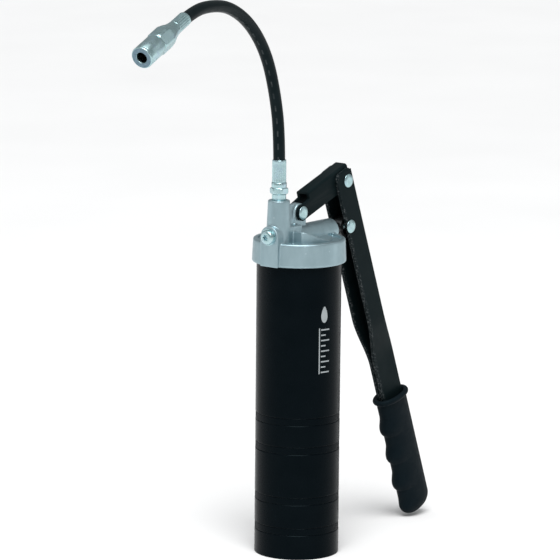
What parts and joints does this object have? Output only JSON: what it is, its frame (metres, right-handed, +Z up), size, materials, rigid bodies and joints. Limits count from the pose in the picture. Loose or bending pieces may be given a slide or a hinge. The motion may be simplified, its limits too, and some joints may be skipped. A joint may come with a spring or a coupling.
{
  "type": "grease gun",
  "caption": "Upright lever grease gun: cylindrical barrel, cast pump head, link-hung lever with grip, and a short hose with a nipple coupler.",
  "frame": {"origin": "centre of the barrel's flat base", "axes": "+Z up the barrel, +X from the barrel to the lever so the linkage lies in the XZ plane, and the vent screw faces -X"},
  "size_m": [0.3461, 0.0645, 0.3842],
  "materials": {
    "barrel_paint": "satin black enamel",
    "lever_paint": "satin black powder coat",
    "cast_aluminium": "satin die casting",
    "zinc_steel": "bright zinc plate",
    "dark_steel": "oiled hardened steel",
    "spring_steel": "drawn wire",
    "rubber": "matte",
    "hose_rubber": "smooth satin",
    "grip_vinyl": "soft matte vinyl"
  },
  "bodies": {
    "body": {"grease_barrel": "barrel_paint", "end_cap": "barrel_paint", "pump_head": "cast_aluminium", "head_gasket": "rubber", "plunger_packing": "rubber", "packing_washer": "zinc_steel", "check_spring": "spring_steel", "link_pin": "zinc_steel", "outlet_adapter": "zinc_steel", "hose_ferrule_lower": "zinc_steel", "grease_hose": "hose_rubber", "hose_ferrule_upper": "zinc_steel", "coupler_adapter": "zinc_steel", "coupler_body": "zinc_steel", "coupler_spring": "spring_steel", "follower_spring": "spring_steel"},
    "link": {"lever_link": "lever_paint"},
    "lever": {"lever_arm": "lever_paint", "lever_pivot_pin": "zinc_steel", "plunger_pin": "zinc_steel", "lever_grip": "grip_vinyl"},
    "plunger": {"pump_plunger": "dark_steel"},
    "follower": {"follower_plate": "zinc_steel", "follower_seal": "rubber"},
    "outlet_ball": {"check_ball": "spring_steel"},
    "vent_seal": {"vent_washer": "zinc_steel"},
    "vent": {"vent_screw": "zinc_steel"},
    "jaw_set": {"coupler_jaws": "dark_steel", "coupler_piston": "dark_steel", "coupler_seal": "rubber"}
  },
  "joints": [
    {"name": "link_tilt", "type": "hinge", "parent": "body", "child": "link", "pos_m": [-0.0028, 0, 0.2327], "axis": [0, 1, 0], "range_deg": [0, 15.8]},
    {"name": "lever_swing", "type": "hinge", "parent": "link", "child": "lever", "pos_m": [0.0439, 0, 0.2493], "axis": [0, -1, 0], "range_deg": [0, 65.8]},
    {"name": "plunger_stroke", "type": "slide", "parent": "body", "child": "plunger", "axis": [1, 0, 0], "range_m": [0, 0.0255]},
    {"name": "follower_slide", "type": "slide", "parent": "body", "child": "follower", "axis": [0, 0, -1], "range_m": [0, 0.13], "stiffness_N_per_m": 150, "springref_m": -0.15, "deforming": ["follower_spring"]},
    {"name": "check_ball_lift", "type": "slide", "parent": "body", "child": "outlet_ball", "axis": [0, 0, 1], "range_m": [0, 0.001], "stiffness_N_per_m": 200, "springref_m": -0.002, "deforming": ["check_spring"]},
    {"name": "vent_lift", "type": "slide", "parent": "body", "child": "vent_seal", "axis": [-1, 0, 0], "range_m": [0, 0.0016]},
    {"name": "vent_turn", "type": "hinge", "parent": "vent_seal", "child": "vent", "pos_m": [-0.033, 0, 0.2195], "axis": [-1, 0, 0], "range_deg": [0, 720]},
    {"name": "jaw_slide", "type": "slide", "parent": "body", "child": "jaw_set", "axis": [0.9241, 0.1381, 0.3564], "range_m": [0, 0.001], "stiffness_N_per_m": 800, "springref_m": -0.002, "deforming": ["coupler_spring"]}
  ],
  "couplings": [
    {"joint": "link_tilt", "follows": "lever_swing", "ratio": 0.24},
    {"joint": "plunger_stroke", "follows": "lever_swing", "m_per_rad": 0.0222},
    {"joint": "vent_turn", "follows": "vent_lift", "rad_per_m": 7854}
  ]
}
